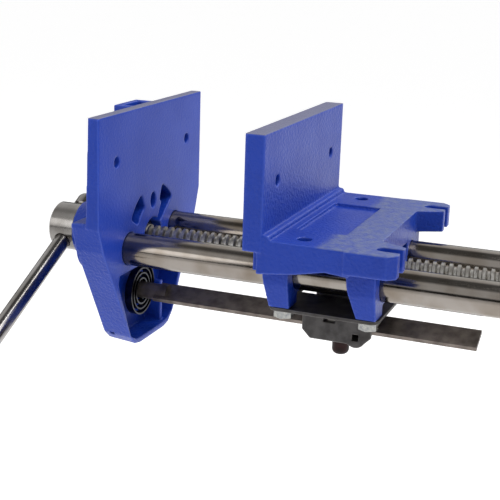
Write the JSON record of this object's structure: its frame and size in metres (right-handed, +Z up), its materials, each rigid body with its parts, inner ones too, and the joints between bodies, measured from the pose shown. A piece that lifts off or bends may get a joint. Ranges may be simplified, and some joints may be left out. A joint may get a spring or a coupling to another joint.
{
  "type": "quick-release woodworking vise",
  "caption": "Under-bench quick-release vise: blue cast jaws, two slide bars, screw with sliding handle, trip bar, half nut and bench dog.",
  "frame": {"origin": "midway between the two round bench holes, on the bench face", "axes": "+X along the jaws, +Y to the rear along the screw, +Z up through the bench"},
  "size_m": [0.2961, 0.4272, 0.2169],
  "materials": {
    "blue_enamel": "gloss enamel over cast iron",
    "ground_steel": "drawn and ground",
    "thread_steel": "cut thread",
    "turned_steel": "turned",
    "zinc_steel": "bright zinc plate",
    "dark_steel": "hot rolled, oiled",
    "spring_steel": "blued",
    "rusty_steel": "oiled, rust tinted"
  },
  "bodies": {
    "bench_body": {"fixed_jaw_body": "blue_enamel", "nut_bracket": "dark_steel", "bracket_bolts": "zinc_steel", "bracket_washers": "zinc_steel"},
    "front_jaw": {"moving_jaw": "blue_enamel", "slide_bar_left": "ground_steel", "slide_bar_right": "ground_steel", "slide_bar_pins": "zinc_steel", "rear_end_plate": "dark_steel", "end_plate_bolts": "zinc_steel", "end_plate_washers": "zinc_steel", "trip_spring": "spring_steel"},
    "screw": {"main_screw": "thread_steel", "screw_head": "turned_steel", "screw_collar": "turned_steel", "screw_collar_pin": "zinc_steel", "screw_tail_washer": "zinc_steel", "screw_tail_pin": "zinc_steel"},
    "handle": {"handle_bar": "turned_steel", "handle_knob_upper": "turned_steel", "handle_knob_lower": "turned_steel"},
    "trip": {"trip_bar": "dark_steel", "trip_spindle": "dark_steel", "trip_lever": "blue_enamel", "trip_lever_pin": "zinc_steel", "trip_spindle_collar": "zinc_steel"},
    "nut": {"half_nut": "dark_steel", "nut_stem": "rusty_steel"},
    "dog": {"bench_dog": "dark_steel"},
    "dog_screw": {"dog_screw": "zinc_steel"}
  },
  "joints": [
    {"name": "screw_turn", "type": "hinge", "parent": "front_jaw", "child": "screw", "pos_m": [0, -0.2, -0.0335], "axis": [0, 1, 0], "range_deg": [-5400, 6582]},
    {"name": "jaw_slide", "type": "slide", "parent": "bench_body", "child": "front_jaw", "axis": [0, 1, 0], "range_m": [-0.0901, 0.1098]},
    {"name": "handle_slide", "type": "slide", "parent": "screw", "child": "handle", "axis": [-0.891, 0, 0.454], "range_m": [0, 0.1954]},
    {"name": "trip_turn", "type": "hinge", "parent": "front_jaw", "child": "trip", "pos_m": [0, -0.17, -0.0785], "axis": [0, 1, 0], "range_deg": [0, 30], "stiffness_Nm_per_rad": 0.3, "springref_deg": -28.65},
    {"name": "half_nut_drop", "type": "slide", "parent": "bench_body", "child": "nut", "axis": [0, 0, -1], "range_m": [0, 0.00361]},
    {"name": "dog_lift", "type": "slide", "parent": "front_jaw", "child": "dog", "axis": [0, 0, 1], "range_m": [0, 0.03]},
    {"name": "dog_screw_turn", "type": "hinge", "parent": "front_jaw", "child": "dog_screw", "pos_m": [0, -0.17, 0.036], "axis": [0, 1, 0], "range_deg": [-720, 0]}
  ],
  "couplings": [
    {"joint": "jaw_slide", "follows": "screw_turn", "m_per_rad": 0.00095493},
    {"joint": "half_nut_drop", "follows": "trip_turn", "m_per_rad": 0.0068755}
  ]
}
